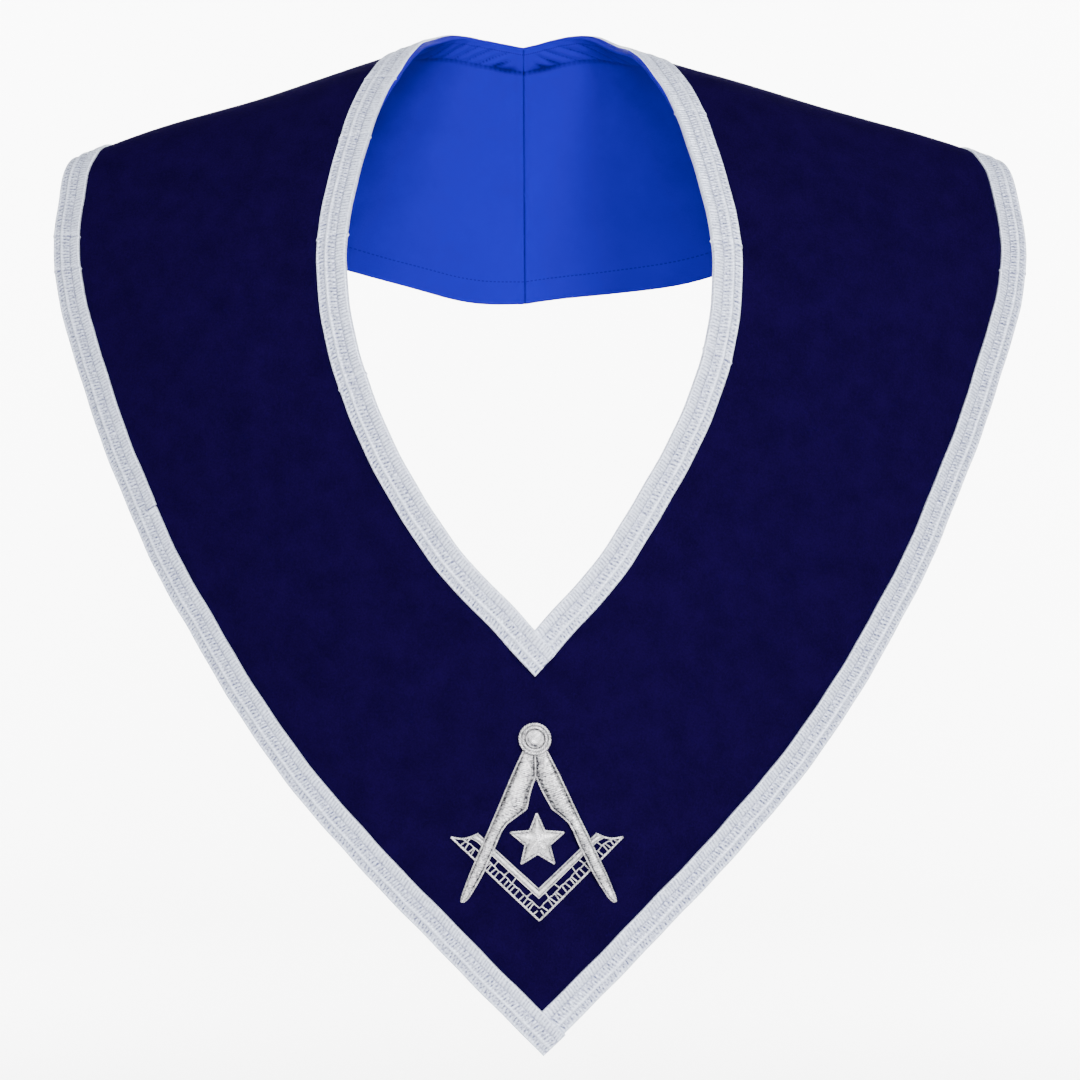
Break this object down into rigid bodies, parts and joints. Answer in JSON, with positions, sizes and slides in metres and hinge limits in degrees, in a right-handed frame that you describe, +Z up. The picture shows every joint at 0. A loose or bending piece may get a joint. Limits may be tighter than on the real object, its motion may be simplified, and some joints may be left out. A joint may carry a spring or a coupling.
{
  "type": "lodge collar",
  "caption": "V-fronted velvet collar with a blue lining, silver braid along both edges and a padded silver square and compasses at the point.",
  "frame": {"origin": "on the plane of symmetry, level with the neck edge beside the neck, where the collar rests on the shoulders", "axes": "+Z up, -Y the way the wearer faces, +X towards the wearer's left"},
  "size_m": [0.4244, 0.2245, 0.4376],
  "materials": {
    "navy_velvet": "dark navy velvet pile",
    "blue_lining": "royal blue cotton satin",
    "silver_braid": "silver woven ribbed braid",
    "bullion_embroidery": "padded silver bullion embroidery"
  },
  "bodies": {
    "root": {"velvet_face": "navy_velvet", "lining": "blue_lining", "neck_braid_left": "silver_braid", "neck_braid_right": "silver_braid", "hem_braid_left": "silver_braid", "hem_braid_right": "silver_braid", "compass_leg_left": "bullion_embroidery", "compass_leg_right": "bullion_embroidery", "compass_boss": "bullion_embroidery", "square": "bullion_embroidery", "centre_star": "bullion_embroidery"}
  },
  "joints": []
}
